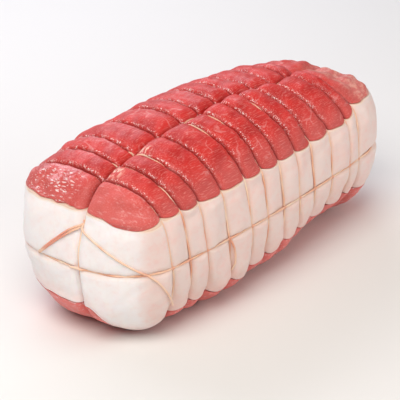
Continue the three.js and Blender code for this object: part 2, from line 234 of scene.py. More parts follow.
# The finished surface with its folds: 0 on it, below 0 inside
def tiedValue(x, y, z):
    u = alongHoops(x, y, z)
    top, bottom = beltEdges(u, x, y)
    past = ramp(top - tie["edgeBelow"], top + tie["edgePast"], z)
    past = past + ramp(bottom + tie["edgeBelow"], bottom - tie["edgePast"], z)
    gap, _ = hoopGap(u)
    leanDepth = tie["leanDepth"] + patch(tie["leanDeeperFar"], x, y) + patch(tie["leanDeeperLow"], z)
    sharpness = mix(tie["sharpNear"], tie["sharpFar"], ramp(*tie["sharpAlong"], x))
    inLean = leanDepth * pinch(u, tie["leanFlat"], sharpness)
    fatDepth = mix(tie["fatDepth"], tie["fatDepthLow"], ramp(*tie["fatLow"], z))
    inFat = fatDepth * pinch(u, tie["fatFlat"]) + tie["fatPress"] * bell(0, tie["fatPressWidth"], gap)
    folds = mix(inFat, inLean, past)
    depth, weight = creaseFold(x, y, z)
    folds = mix(folds, np.maximum(depth, folds), weight)
    level = tie["sideDepth"] * valley(z - body["tieHeight"], tie["sideReach"], tie["sideFlat"])
    return np.maximum(bodyValue(x, y, z) + pulledForm(x, y, z, u) + np.maximum(folds, level), -z)


def untiedValue(x, y, z):
    depth, weight = creaseFold(x, y, z)
    pulled = pulledForm(x, y, z, alongHoops(x, y, z))
    return np.maximum(bodyValue(x, y, z) + pulled + depth * weight, -z)


# Where a path that starts inside leaves a surface, found by halving the way
def leave(surface, place, shape):
    inside = np.zeros(shape)
    outside = np.full(shape, body["farEnd"] - body["nearEnd"])
    for _ in range(24):
        middle = (inside + outside) / 2
        within = surface(*place(middle)) < 0
        inside = np.where(within, middle, inside)
        outside = np.where(within, outside, middle)
    return inside


# Places along the spine, closer together at the hoops
def stationsAlong(count):
    fine = np.linspace(body["spineNear"], body["spineFar"], 4000)
    gap, _ = hoopGap(fine)
    crowding = np.cumsum(1 + 1.6 * bell(0, 2.2, gap))
    crowding = (crowding - crowding[0]) / (crowding[-1] - crowding[0])
    return np.interp(np.linspace(0, 1, count), crowding, fine)


# Columns are half planes that stand on the spine, along both sides and fanned round the ends
def allColumns(sideCount, fanCount):
    along = stationsAlong(sideCount)
    fan = np.radians(np.linspace(-90, 90, fanCount + 2)[1:-1])
    u = np.concatenate([along, np.full(fanCount, body["spineFar"]), along[::-1],
                        np.full(fanCount, body["spineNear"])])
    angle = np.concatenate([np.full(sideCount, -math.pi / 2), fan, np.full(sideCount, math.pi / 2),
                            math.pi + fan])
    return u[:, None], np.cos(angle)[:, None], np.sin(angle)[:, None]


def columnPoint(column, height, reach):
    u, alongX, alongY = column
    x = slanted(u, height) + reach * alongX
    return x, creaseLine(u) + reach * alongY, height + 0 * reach


def reachAtHeight(column, surface, height):
    shape = np.broadcast(column[0], height).shape
    return leave(surface, lambda reach: columnPoint(column, height, reach), shape)


def elevated(column, angle, reach):
    height = body["tieHeight"] + reach * np.sin(angle)
    return columnPoint(column, height, reach * np.cos(angle))


def reachAtAngle(column, surface, angle):
    shape = np.broadcast(column[0], angle).shape
    return leave(surface, lambda reach: elevated(column, angle, reach), shape)


def edgesOf(column):
    height = np.full((1, 1), body["tieHeight"])
    reach = reachAtHeight(column, untiedValue, height)
    x, y, _ = columnPoint(column, height, reach)
    return beltEdges(column[0], x, y)


# A wall behind the fat, which stays behind the folds
def behindFat(column, height, depth):
    crown = reachAtHeight(column, untiedValue, height)
    fold = reachAtHeight(column, tiedValue, height)
    reach = np.maximum(np.minimum(crown - depth, fold - depth / 2), belt["wall"] - depth)
    return columnPoint(column, height, reach)


# From an edge to the ridge or the keel, as rays that swing up or down from the spine
def swing(column, edge, marks, end):
    reach = reachAtHeight(column, tiedValue, edge)
    start = np.arctan2(edge - body["tieHeight"], reach)
    angle = mix(start, end * math.pi / 2, marks[None, :])
    return elevated(column, angle, reachAtAngle(column, tiedValue, angle))


# A rounded rim at an edge: the surface turns inwards over a quarter circle
def rimPoints(column, edge, radius, steps, facing):
    angle = np.linspace(0, math.pi / 2, steps)[None, :]
    reach = reachAtHeight(column, tiedValue, edge - facing * radius)
    height = edge - facing * radius * (1 - np.sin(angle))
    return columnPoint(column, height, reach - radius * (1 - np.cos(angle)))


def stack(parts):
    return [np.concatenate([part[axis] for part in parts], axis=1) for axis in range(3)]


def outward(x, y, z):
    nudge = 0.5
    slope = [
        bodyValue(x + nudge, y, z) - bodyValue(x - nudge, y, z),
        bodyValue(x, y + nudge, z) - bodyValue(x, y - nudge, z),
        bodyValue(x, y, z + nudge) - bodyValue(x, y, z - nudge),
    ]
    size = np.sqrt(slope[0] ** 2 + slope[1] ** 2 + slope[2] ** 2)
    return [part / size for part in slope]


def pushOut(points, amount):
    away = outward(*points)
    return [place + amount * way for place, way in zip(points, away)]


# A mesh from a ring of columns; a closed loop also joins each column's ends
def skinMesh(name, points, closedLoop):
    count, levels = points[0].shape
    flat = np.stack([place.ravel() for place in points], axis=1)
    strips = levels if closedLoop else levels - 1
    column, level = np.meshgrid(np.arange(count), np.arange(strips), indexing="ij")
    ahead, above = (column + 1) % count, (level + 1) % levels
    corners = np.stack([column * levels + level, ahead * levels + level,
                        ahead * levels + above, column * levels + above], axis=-1).reshape(-1, 4)
    # points within a thousandth of a mm are welded
    _, first, place = np.unique(np.round(flat, 3), axis=0, return_index=True, return_inverse=True)
    place = place.ravel()
    faces = []
    for face in place[corners].tolist():
        ring = [corner for i, corner in enumerate(face) if corner != face[i - 1]]
        if len(set(ring)) == len(ring) and len(ring) > 2:
            faces.append(ring)
    mesh = bpy.data.meshes.new(name)
    mesh.from_pydata((flat[first] * mm).tolist(), [], faces)
    mesh.shade_smooth()
    made = bpy.data.objects.new(name, mesh)
    bpy.context.scene.collection.objects.link(made)
    return made, first


def paint(piece, name, values):
    layer = piece.data.attributes.new(name, "FLOAT", "POINT")
    layer.data.foreach_set("value", np.ascontiguousarray(values, dtype=np.float32))


# Colours are written as sRGB and given to the shader as linear
def hexColour(code):
    parts = [int(code[i:i + 2], 16) / 255 for i in (0, 2, 4)]
    linear = [part / 12.92 if part <= 0.04045 else ((part + 0.055) / 1.055) ** 2.4 for part in parts]
    return [*linear, 1]


# Adds a node: settings named by a number or with a capital are sockets, stops belong to a
# colour ramp and the rest are properties
def addNode(material, kind, settings=None, links=None):
    made = material.node_tree.nodes.new("ShaderNode" + kind)
    for name, value in (settings or {}).items():
        if name == "stops":
            while len(made.color_ramp.elements) < len(value):
                made.color_ramp.elements.new(0.5)
            for element, (position, code) in zip(made.color_ramp.elements, value):
                element.position = position
                element.color = hexColour(code)
        elif isinstance(name, int) or name[0].isupper():
            made.inputs[name].default_value = value
        else:
            setattr(made, name, value)
    for name, source in (links or {}).items():
        material.node_tree.links.new(source, made.inputs[name])
    return made


# Noises by name, each with its grain in mm along, across and up, its detail and roughness
def addGrains(material, spot, grains):
    made = {}
    for name, (sizes, detail, roughness) in grains.items():
        scale = [1 / (size * mm) for size in sizes]
        place = addNode(material, "Mapping", {"Scale": scale}, {"Vector": spot}).outputs[0]
        settings = {"Scale": 1.0, "Detail": detail, "Roughness": roughness}
        made[name] = addNode(material, "TexNoise", settings, {"Vector": place}).outputs["Fac"]
    return made


# Lays colours over one another. A row is a colour, an amount and what the amount is
# multiplied by: values, or values with the limits between which they go from 0 to 1
def layColours(material, below, rows):
    for code, amount, *parts in rows:
        share = None
        for part in parts:
            if isinstance(part, tuple):
                value, start, stop = part
                part = addNode(material, "MapRange", {"From Min": start, "From Max": stop},
                               {"Value": value}).outputs[0]
            if share is None:
                made = addNode(material, "Math", {"operation": "MULTIPLY", 1: amount}, {0: part})
            else:
                made = addNode(material, "Math", {"operation": "MULTIPLY"}, {0: share, 1: part})
            share = made.outputs[0]
        below = addNode(material, "Mix", {"data_type": "RGBA", 7: hexColour(code)},
                        {0: share, 6: below}).outputs[2]
    return below


def newMaterial(name):
    made = bpy.data.materials.new(name)
    made.use_nodes = True
    made.node_tree.nodes.clear()
    return made


def finishMaterial(material, shader):
    addNode(material, "OutputMaterial", links={"Surface": shader.outputs["BSDF"]})
    return material


view = {
    "azimuth": -51.1, "elevation": 25.2, "distance": 1500.0,
    "target": (-17.9, 0.0, 47.3), "lens": 199.67, "sensor": 36.0,
}


def placeCamera():
    azimuth, elevation = math.radians(view["azimuth"]), math.radians(view["elevation"])
    back = (math.sin(azimuth) * math.cos(elevation), -math.cos(azimuth) * math.cos(elevation),
            math.sin(elevation))
    data = bpy.data.cameras.new("camera")
    data.lens = view["lens"]
    data.sensor_width = view["sensor"]
    data.clip_start = 0.05
    made = bpy.data.objects.new("camera", data)
    made.location = [(aim + view["distance"] * way) * mm for aim, way in zip(view["target"], back)]
    made.rotation_euler = (math.pi / 2 - elevation, 0, azimuth)
    bpy.context.scene.collection.objects.link(made)
    bpy.context.scene.camera = made


studio = {
    "floor": "e9e7e4", "floorSize": 12.0,        # metres
    "world": "dfe3e8", "worldStrength": 0.3,
    "lamps": [        # name, place and aim in mm, size in mm, watts, colour
        ("key", (-620, -260, 900), (0, 0, 50), (700, 700), 9.5, "fffaf4"),
        ("back", (250, 700, 620), (0, 0, 70), (1100, 380), 6.0, "f3f4ff"),
        ("side", (500, -800, 420), (0, 0, 40), (700, 500), 3.0, "fff6f0"),
    ],
}


def lightStudio():
    for name, place, aim, size, watts, colour in studio["lamps"]:
        data = bpy.data.lights.new(name, "AREA")
        data.shape = "RECTANGLE"
        data.size, data.size_y = size[0] * mm, size[1] * mm
        data.energy = watts
        data.color = hexColour(colour)[:3]
        lamp = bpy.data.objects.new(name, data)
        lamp.location = [value * mm for value in place]
        away = [start - stop for start, stop in zip(place, aim)]
        flat = math.hypot(away[0], away[1])
        lamp.rotation_euler = (math.atan2(flat, away[2]), 0, math.atan2(away[0], -away[1]))
        bpy.context.scene.collection.objects.link(lamp)
    world = bpy.data.worlds.new("studio")
    world.use_nodes = True
    backdrop = world.node_tree.nodes["Background"]
    backdrop.inputs["Color"].default_value = hexColour(studio["world"])
    backdrop.inputs["Strength"].default_value = studio["worldStrength"]
    bpy.context.scene.world = world


def layFloor():
    half = studio["floorSize"] / 2
    mesh = bpy.data.meshes.new("floor")
    corners = [(-half, -half, 0), (half, -half, 0), (half, half, 0), (-half, half, 0)]
    mesh.from_pydata(corners, [], [(0, 1, 2, 3)])
    floor = bpy.data.objects.new("floor", mesh)
    bpy.context.scene.collection.objects.link(floor)
    matt = newMaterial("matt_paper_sweep")        # plain pale paper, no shine
    shader = addNode(matt, "BsdfPrincipled",
                     {"Base Color": hexColour(studio["floor"]), "Roughness": 0.9})
    floor.data.materials.append(finishMaterial(matt, shader))


placeCamera()
lightStudio()
layFloor()
bpy.context.scene.view_settings.view_transform = "Standard"
print("camera, lamps and floor placed")


lean = {
    "sideColumns": 290, "fanColumns": 110, "upperLevels": 90, "lowerLevels": 20, "rimSteps": 4,
    "rimRadius": 0.45, "crowding": 0.93, "floorGap": 0.02,
    # of these colours the darkest red is painted shade for the folds, the pale red paints light, the lilac
    # is a painted sheen and the near white paints glints
    "bright": "d3302a", "deep": "bb221f", "groove": "7c1214", "rose": "cc5f59", "fibre": "ea9a90",
    "seam": "e9b3b0", "pale": "ea7d77", "sheen": "e3a3a9", "marbled": "e2a096", "fleck": "f0c3ae",
    "paintedGlint": "fdf0ec",
    "seamSize": 24.0, "seamBend": 11.0, "seamShift": 12.0,        # mm
    "grains": {        # mm along, across and up, then detail and roughness
        "fibres": ((8.0, 0.5, 0.5), 3.0, 0.6), "cloud": ((16, 12, 12), 3.0, 0.5),
        "fine": ((1.4, 1.0, 1.0), 2.0, 0.5), "glintDashes": ((1.9, 0.65, 0.65), 1.0, 0.5),
        "flecks": ((5, 2, 2), 3.0, 0.5), "drawn": ((1.3, 7, 1.8), 3.0, 0.5),
        "torn": ((4, 4, 2.5), 4.0, 0.6), "wetGlints": ((1.3, 3.4, 1.0), 3.0, 0.5),
    },
    # depths of the relief in mm
    "slow": 0.45, "lumps": 0.22, "wrinkle": 0.2, "fineWrinkle": 0.08, "crinkle": 0.16, "sunk": 0.25,
    "tornTip": (0.5, (98, 112), (62, 74)), "facetPlanes": (0.5, (-124, -134), (-8, -16), (82, 90)),
    # regions that are painted for the material
    "wetLobe": (1, (-127, -136), (-5, 8), (48, 34), (84, 91)),
    # where light is painted: the near right facet and the foot of the lean
    "paintedLightFacet": (1, (-120, -134), (0, -12), (70, 88)), "paintedLightFoot": (2.5, (42, 26)),
    "marbledTip": (1, (97, 110), (60, 80), (14, -4)), "sheenCrest": (1, (84, 98), (-2, 14)),
    "speckCrest": (1, (13, 7), (95, 100)), "nearSpeck": (1.2, (-116, -112), (-103, -106)),
    "nextSpeck": (1, (-83, -81), (-74, -78)), "glintFade": (95, 70), "flankFade": (24, 2),
    # what lies beside a hoop: its middle and width, in mm from the hoop
    "glintPlace": (1.7, 0.65), "sheenPlace": (3.0, 0.9), "crinklePlace": (2.2, 1.6), "foldShadeWidth": 0.9,
    "broadSheen": (0.45, (11, 4), (1.5, 3)),
}


# Wrinkles on the near left lobe, planes on the near right facet, crinkles beside the
# folds, a ragged far tip and slow unevenness
def leanRelief(x, y, z):
    u = alongHoops(x, y, z)
    gap, _ = hoopGap(u)
    wrinkles = lean["wrinkle"] * waves(x, y, z, 9, 21)
    wrinkles = wrinkles + lean["fineWrinkle"] * waves(x, y * 1.4, z * 1.4, 3.4, 22)
    torn = patch(lean["tornTip"], u, z) * waves(x, y, z, 9, 26)
    crinkle = bell(*lean["crinklePlace"], gap) * lean["crinkle"] * waves(x * 0.5, y * 1.6, z, 3.0, 25)
    slow = lean["slow"] * waves(x, y, z, 34, 23) + lean["lumps"] * waves(x * 0.6, y, z, 11, 24)
    planes = patch(lean["facetPlanes"], x, y, z) * waves(x, y, z, 13, 27, 4)
    wet = patch(lean["wetLobe"], x, y, y, z)
    return slow + wet * wrinkles + planes + torn + crinkle - lean["sunk"]


def buildLean():
    column = allColumns(lean["sideColumns"], lean["fanColumns"])
    top, bottom = edgesOf(column)
    high, low = top + belt["gap"], bottom - 2 * belt["gap"]
    depth = belt["thickness"] + belt["gap"]
    radius = lean["rimRadius"]
    upperMarks = np.linspace(0, 1, lean["upperLevels"] + 1)[1:] ** lean["crowding"]
    lowerMarks = np.linspace(1, 0, lean["lowerLevels"] + 1)[:-1]
    inner = [behindFat(column, height, depth) for height in
             (low, mix(low, body["tieHeight"], 0.5), np.full_like(low, body["tieHeight"]),
              mix(high, body["tieHeight"], 0.5), high)]
    lowRim = rimPoints(column, low, radius, lean["rimSteps"], 1)
    highRim = [place[:, ::-1] for place in rimPoints(column, high, radius, lean["rimSteps"], -1)]
    under = swing(column, low - radius, lowerMarks, -1)
    over = swing(column, high + radius, upperMarks, 1)
    points = stack([under, lowRim, *inner, highRim, over])
    shown = np.concatenate([np.ones(lowerMarks.size), np.zeros(2 * lean["rimSteps"] + 5),
                            ramp(0, 0.06, upperMarks)])[None, :]
    points = pushOut(points, leanRelief(*points) * shown)
    points[2] = np.maximum(points[2], lean["floorGap"])
    piece, first = skinMesh("lean", points, False)
    x, y, z = [place.ravel()[first] for place in points]
    u = alongHoops(x, y, z)
    gap, _ = hoopGap(u)
    edge = beltEdges(u, x, y)[0]
    _, inCrease = creaseFold(x, y, z)
    across = np.abs(y - creaseLine(u))
    ahead = hoopAhead(u)
    # painted shade: darker in the fold at each hoop and in the crease
    paint(piece, "fold", np.maximum(0.9 * bell(0, lean["foldShadeWidth"], gap), inCrease ** 3))
    # painted glints: white dashes on the face just behind each hoop
    glintBand = np.where(ahead > gap + 0.01, bell(*lean["glintPlace"], gap), 0)
    paint(piece, "shoulder", glintBand * ramp(edge + 3, edge + 16, z) * ramp(*lean["glintFade"], u))
    # painted sheen: a lilac band a little before each hoop on the upper left crests
    broadSheen = bell(*lean["sheenPlace"], ahead) + patch(lean["broadSheen"], ahead, ahead)
    paint(piece, "crest", np.minimum(broadSheen, 1) * patch(lean["sheenCrest"], z, y))
    # painted light: paler on the near right facet and along the foot of the lean, where pale seam lines are
    # also drawn
    paint(piece, "facet", patch(lean["paintedLightFacet"], x, y, z) + patch(lean["paintedLightFoot"], z))
    paint(piece, "flank", ramp(*lean["flankFade"], z - edge) * ramp(edge - 1, edge, z))
    paint(piece, "tip", patch(lean["marbledTip"], u, z, y))
    # the wet patch: glossier, and in the material painted lighter with painted glints
    paint(piece, "wet", patch(lean["wetLobe"], x, y, y, z))
    specks = patch(lean["nearSpeck"], u, u) + patch(lean["nextSpeck"], u, u)
    paint(piece, "speck", patch(lean["speckCrest"], across, z) * (y < creaseLine(u)) * specks)
    return piece


# Fresh cut muscle: translucent red with a film of moisture, short pale fibres along the
# joint and thin seams of connective tissue. Painted shade darkens the folds, painted light
# brightens the near right facet, the foot and the wet lobe, a painted sheen lies on the
# crests, and painted white glints lie behind the hoops and on the wet lobe
def leanMaterial():
    made = newMaterial("moist_raw_beef_lean")
    spot = addNode(made, "TexCoord").outputs["Object"]
    grains = addGrains(made, spot, lean["grains"])
    fibres, cloud, flecks = grains["fibres"], grains["cloud"], grains["flecks"]
    fold, shoulder, flank, tip, wet, crest, speck, facet = [
        addNode(made, "Attribute", {"attribute_name": name}).outputs["Fac"]
        for name in ("fold", "shoulder", "flank", "tip", "wet", "crest", "speck", "facet")]
    bent = addNode(made, "TexNoise", {"Scale": 1 / (lean["seamBend"] * mm), "Detail": 1.0},
                   {"Vector": spot}).outputs["Color"]
    shift = [lean["seamShift"] * mm] * 3
    wobble = addNode(made, "VectorMath", {"operation": "MULTIPLY_ADD", 1: shift},
                     {0: bent, 2: spot}).outputs[0]
    cells = addNode(made, "TexVoronoi",
                    {"feature": "DISTANCE_TO_EDGE", "Scale": 1 / (lean["seamSize"] * mm)},
                    {"Vector": wobble}).outputs["Distance"]
    red = addNode(made, "ValToRGB", {"stops": [(0.36, lean["deep"]), (0.6, lean["bright"])]},
                  {"Fac": cloud}).outputs["Color"]
    red = layColours(made, red, (
        (lean["rose"], 0.6, flank),
        (lean["marbled"], 0.3, tip),
        (lean["fleck"], 0.5, tip, (grains["torn"], 0.46, 0.62)),
        # painted light on the near right facet and the foot
        (lean["pale"], 0.34, facet),
        (lean["seam"], 0.4, facet, (grains["drawn"], 0.56, 0.68)),
        # painted highlight: lighter over the wet lobe
        (lean["pale"], 0.15, wet),
        (lean["fibre"], 0.7, (fibres, 0.52, 0.74)),
        (lean["seam"], 0.35, (cells, 0.03, 0.004), (cloud, 0.52, 0.6)),
        # painted sheen on the crests
        (lean["sheen"], 0.75, crest, (fibres, 0.4, 0.62)),
        # painted shade in the folds
        (lean["groove"], 0.9, fold),
        (lean["fleck"], 0.9, speck, (flecks, 0.46, 0.6)),
        # painted glints: white dashes just behind each hoop
        (lean["paintedGlint"], 1, (grains["glintDashes"], 0.53, 0.6), shoulder, (flecks, 0.42, 0.54)),
        # painted glints on the wet lobe
        (lean["paintedGlint"], 0.85, wet, (grains["wetGlints"], 0.58, 0.66)),
    ))
    height = addNode(made, "Math", {"operation": "MULTIPLY_ADD", 1: 0.5},
                     {0: grains["fine"], 2: fibres}).outputs[0]
    height = addNode(made, "Math", {"operation": "MULTIPLY_ADD"},
                     {0: grains["glintDashes"], 1: shoulder, 2: height}).outputs[0]
    bump = addNode(made, "Bump", {"Strength": 0.7, "Distance": 0.4 * mm}, {"Height": height}).outputs[0]
    coat = addNode(made, "Math", {"operation": "MULTIPLY_ADD", 1: 0.55, 2: 0.1}, {0: wet}).outputs[0]
    rough = addNode(made, "MapRange", {"To Min": 0.52, "To Max": 0.2}, {"Value": wet}).outputs[0]
    shader = addNode(made, "BsdfPrincipled", {
        "IOR": 1.38, "Subsurface Weight": 0.3, "Subsurface Radius": (3.0, 0.9, 0.7),
        "Subsurface Scale": 1.0 * mm, "Coat Roughness": 0.14,
    }, {"Base Color": red, "Roughness": rough, "Normal": bump, "Coat Weight": coat})
    return finishMaterial(made, shader)


leanPiece = buildLean()
leanPiece.data.materials.append(leanMaterial())
print("lean made:", len(leanPiece.data.polygons), "faces")


fat = {
    "sideColumns": 290, "fanColumns": 110, "outerLevels": 78, "rimSteps": 5,
    # the side colour is the fat's own pink together with painted shade
    "cream": "f6f0ef", "side": "ecd7d0", "pink": "efc6bd", "edge": "f3dcc8", "line": "e2b291",
    "shade": "efc9b4",
    "grains": {        # mm along, across and up, then detail and roughness
        "cloud": ((20, 16, 16), 4.0, 0.6), "fine": ((1.8, 1.4, 1.4), 3.0, 0.5),
        "mottle": ((5, 4, 4), 3.0, 0.6),
    },
    "slow": 0.5, "lumps": 0.16, "pleat": (0.7, (50, 34), (-118, -104)), "sunk": 0.3,        # relief, mm
    "pleatPlace": (3.2, 1.6), "hoopShade": (1, (-120, -108)), "tieShade": 2.2, "hoopShadeWidth": 2.4,
    "nearSide": (1, (-146, -130), (44, 52)), "wholeSide": (1, (-124, -104)), "lowBlush": (14, 2),
    "farPaler": (130, 150),
}


# Slow unevenness, and pleats beside the hoops below the tie
def fatRelief(x, y, z):
    u = alongHoops(x, y, z)
    gap, _ = hoopGap(u)
    slow = fat["slow"] * waves(x, y, z * 0.7, 40, 31) + fat["lumps"] * waves(x, y, z, 11, 32)
    beside = patch(fat["pleat"], z, x) * bell(*fat["pleatPlace"], gap)
    pleats = beside * waves(x * 0.3, y, z * 0.5, 26, 33)
    return slow + pleats - fat["sunk"]


def buildFat():
    column = allColumns(fat["sideColumns"], fat["fanColumns"])
    top, bottom = edgesOf(column)
    radius = belt["rim"]
    marks = np.linspace(0, 1, fat["outerLevels"] + 2)[None, 1:-1]
    height = mix(bottom + radius, top - radius, marks)
    outer = columnPoint(column, height, reachAtHeight(column, tiedValue, height))
    highRim = rimPoints(column, top, radius, fat["rimSteps"], 1)
    lowRim = [place[:, ::-1] for place in rimPoints(column, bottom, radius, fat["rimSteps"], -1)]
    inner = [behindFat(column, level, belt["thickness"]) for level in
             (top, mix(top, body["tieHeight"], 0.5), np.full_like(top, body["tieHeight"]),
              mix(bottom, body["tieHeight"], 0.5), bottom)]
    points = stack([lowRim, outer, highRim, *inner])
    shown = np.concatenate([np.zeros(fat["rimSteps"]),
                            ramp(0, 0.08, marks[0]) * ramp(1, 0.92, marks[0]),
                            np.zeros(fat["rimSteps"] + 5)])[None, :]
    points = pushOut(points, fatRelief(*points) * shown)
    piece, first = skinMesh("fat", points, True)
    x, y, z = [place.ravel()[first] for place in points]
    u = alongHoops(x, y, z)
    gap, _ = hoopGap(u)
    high, low = beltEdges(u, x, y)
    paint(piece, "below", high - z)
    # painted shade: a warm darker tint along the hoops away from the near end and along the side tie
    atTie = bell(body["tieHeight"], fat["tieShade"], z)
    atHoop = patch(fat["hoopShade"], x) * bell(0, fat["hoopShadeWidth"], gap)
    paint(piece, "hoop", np.maximum(atHoop, atTie))
    # the sides are darker pink than the near end: partly the fat's own pink, partly painted shade
    side = np.maximum(patch(fat["nearSide"], x, np.abs(y)), patch(fat["wholeSide"], x))
    paint(piece, "flankSide", side * mix(1, 0.75, ramp(*fat["farPaler"], x)))
    paint(piece, "low", ramp(*fat["lowBlush"], z - low))
    return piece


# Hard beef fat: waxy and slightly translucent, warm white at the near end, blushed pink
# along the sides, where painted shade also darkens it, with a warm painted shade along the
# twine and a thin dry line where it meets the lean
def fatMaterial():
    made = newMaterial("waxy_beef_fat")
    spot = addNode(made, "TexCoord").outputs["Object"]
    grains = addGrains(made, spot, fat["grains"])
    mottle = grains["mottle"]
    below, hoop, side, low = [addNode(made, "Attribute", {"attribute_name": name}).outputs["Fac"]
                              for name in ("below", "hoop", "flankSide", "low")]
    # cream at the near end, darker pink on the sides: own pink and painted shade
    tint = addNode(made, "Mix",
                   {"data_type": "RGBA", 6: hexColour(fat["cream"]), 7: hexColour(fat["side"])},
                   {0: side}).outputs[2]
    broad = addNode(made, "MapRange", {"From Min": 0.42, "From Max": 0.78},
                    {"Value": grains["cloud"]}).outputs[0]
    spots = addNode(made, "MapRange", {"From Min": 0.5, "From Max": 0.72, "To Max": 0.4},
                    {"Value": mottle}).outputs[0]
    blush = addNode(made, "Math", {"operation": "MULTIPLY_ADD", 1: 0.7}, {0: broad, 2: spots}).outputs[0]
    onSide = addNode(made, "Math", {"operation": "MULTIPLY_ADD", 1: 0.55, 2: 0.3}, {0: side}).outputs[0]
    tint = layColours(made, tint, (
        (fat["pink"], 1, blush, onSide),
        # painted shade along the twine
        (fat["shade"], 0.4, hoop),
        (fat["pink"], 0.35, low),
        (fat["edge"], 0.6, (below, 1.5, 0.6)),
        (fat["line"], 0.5, (below, 0.3, 0.1)),
    ))
    height = addNode(made, "Math", {"operation": "MULTIPLY_ADD", 1: 0.4},
                     {0: grains["fine"], 2: mottle}).outputs[0]
    bump = addNode(made, "Bump", {"Strength": 0.4, "Distance": 0.3 * mm}, {"Height": height}).outputs[0]
    shader = addNode(made, "BsdfPrincipled", {
        "IOR": 1.44, "Roughness": 0.5, "Subsurface Weight": 0.35, "Subsurface Radius": (2.0, 1.4, 1.1),
        "Subsurface Scale": 1.6 * mm, "Coat Weight": 0.08, "Coat Roughness": 0.3,
    }, {"Base Color": tint, "Normal": bump})
    return finishMaterial(made, shader)


fatPiece = buildFat()
fatPiece.data.materials.append(fatMaterial())
print("fat made:", len(fatPiece.data.polygons), "faces")


twine = {
    "radius": 0.7, "flatten": 0.85, "plies": 3, "lobe": 0.13, "pitch": 5.0, "step": 0.9, "sides": 10,
    "fatLift": 0.05, "leanSink": 1.5, "cleftLift": 1.6, "strandLift": 0.75, "uneven": 0.12,
    "floorGap": 0.05,
    "cleftAlong": (-140, -146), "cleftAcross": (7, 4),
    "knotBefore": -138, "knotPatch": (1, (-6, 0), (26, 18), (57, 61)), "stainReach": 1.6,
    "grains": {        # mm along, across and up, then detail and roughness
        "patchy": ((18, 18, 18), 2.0, 0.5), "fuzz": ((0.5, 0.5, 0.5), 2.0, 0.5),
    },
    "cotton": "eebd9f", "pale": "f5dac2", "stain": "e8a78a", "blood": "e08474",
    "wrap": 0.95, "wrapRadius": 0.5, "wrapLay": 3.0,
    "knotWraps": ((1.9, 12), (0.8, -14), (-0.3, 10), (-1.4, -8)),        # shift in mm, tilt
    "slackPair": ((-60.6, 52), (-58.9, 46), (-58.2, 40), (-58.6, 34), (-60.3, 28)),
    "strandToRight": ((0, 80.5), (7, 79.5), (19, 76.9), (32, 73.2), (44, 68.4), (56, 62), (64, 57.5),
                      (73, 52.4), (78, 48), (83, 40), (87, 32), (91, 25.4)),
    "strandToLeft": ((0, 80.5), (-7, 79.5), (-15, 76.8), (-22, 73.2), (-31, 66.9), (-37, 61.4),
                     (-42, 56.6), (-47, 53)),
    "strandBeside": ((0, 79.5), (-8, 77.3), (-17, 73.6), (-25, 69.4), (-33, 63.4), (-39, 58.2),
                     (-43, 55.0), (-47, 53)),
}


def resampled(points, closed):
    path = np.vstack([points, points[:1]]) if closed else np.asarray(points)
    length = np.concatenate([[0], np.cumsum(np.linalg.norm(np.diff(path, axis=0), axis=1))])
    count = max(int(round(length[-1] / twine["step"])), 3)
    at = np.linspace(0, length[-1], count + 1)
    if closed:
        at = at[:-1]
    return np.stack([np.interp(at, length, path[:, axis]) for axis in range(3)], axis=1), at


# Points up one side of a column, from keel to ridge, in the folds
def climb(column, count):
    top, bottom = edgesOf(column)
    marks = np.linspace(0, 1, count)
    under = swing(column, bottom, marks[::-1], -1)
    height = mix(bottom, top, marks[None, 1:-1])
    side = columnPoint(column, height, reachAtHeight(column, tiedValue, height))
    over = swing(column, top, marks, 1)
    return np.stack([part.ravel() for part in stack([under, side, over])], axis=1)


def oneColumn(u, angle):
    return np.full((1, 1), float(u)), np.full((1, 1), math.cos(angle)), np.full((1, 1), math.sin(angle))


# Sits proud of the fat and sinks between the folds of lean
def settle(points):
    x, y, z = points.T
    top, bottom = beltEdges(alongHoops(x, y, z), x, y)
    onLean = ramp(top - 1, top + 4, z) + ramp(bottom + 1, bottom - 3, z)
    across = np.abs(y - creaseLine(alongHoops(x, y, z)))
    inCleft = ramp(*twine["cleftAlong"], x) * ramp(*twine["cleftAcross"], across)
    onFat = twine["fatLift"] + twine["cleftLift"] * inCleft
    lift = mix(onFat, -twine["leanSink"], onLean) + twine["uneven"] * waves(x, y, z, 19, 41)
    away = np.stack(outward(x, y, z), axis=1)
    return points + away * lift[:, None]


def hoopPath(hoop):
    right = climb(oneColumn(hoop, -math.pi / 2), 40)
    left = climb(oneColumn(hoop, math.pi / 2), 40)[::-1]
    return settle(np.vstack([right, left[1:-1]]))


def sideTiePath():
    column = allColumns(120, 40)
    height = np.full((1, 1), body["tieHeight"])
    reach = reachAtHeight(column, tiedValue, height)
    return settle(np.stack([part.ravel() for part in columnPoint(column, height, reach)], axis=1))


def lengthTiePath():
    near = climb(oneColumn(body["spineNear"], math.pi), 40)
    far = climb(oneColumn(body["spineFar"], 0), 40)[::-1]
    along = np.linspace(body["spineNear"], body["spineFar"], 200)[1:-1]
    column = (along[:, None], np.zeros((along.size, 1)), np.ones((along.size, 1)))
    lines = []
    for angle in (np.full((1, 1), math.pi / 2), np.full((1, 1), -math.pi / 2)):
        places = elevated(column, angle, reachAtAngle(column, tiedValue, angle))
        lines.append(np.stack([part.ravel() for part in places], axis=1))
    ridge, keel = lines
    return settle(np.vstack([near, ridge, far, keel[::-1]]))


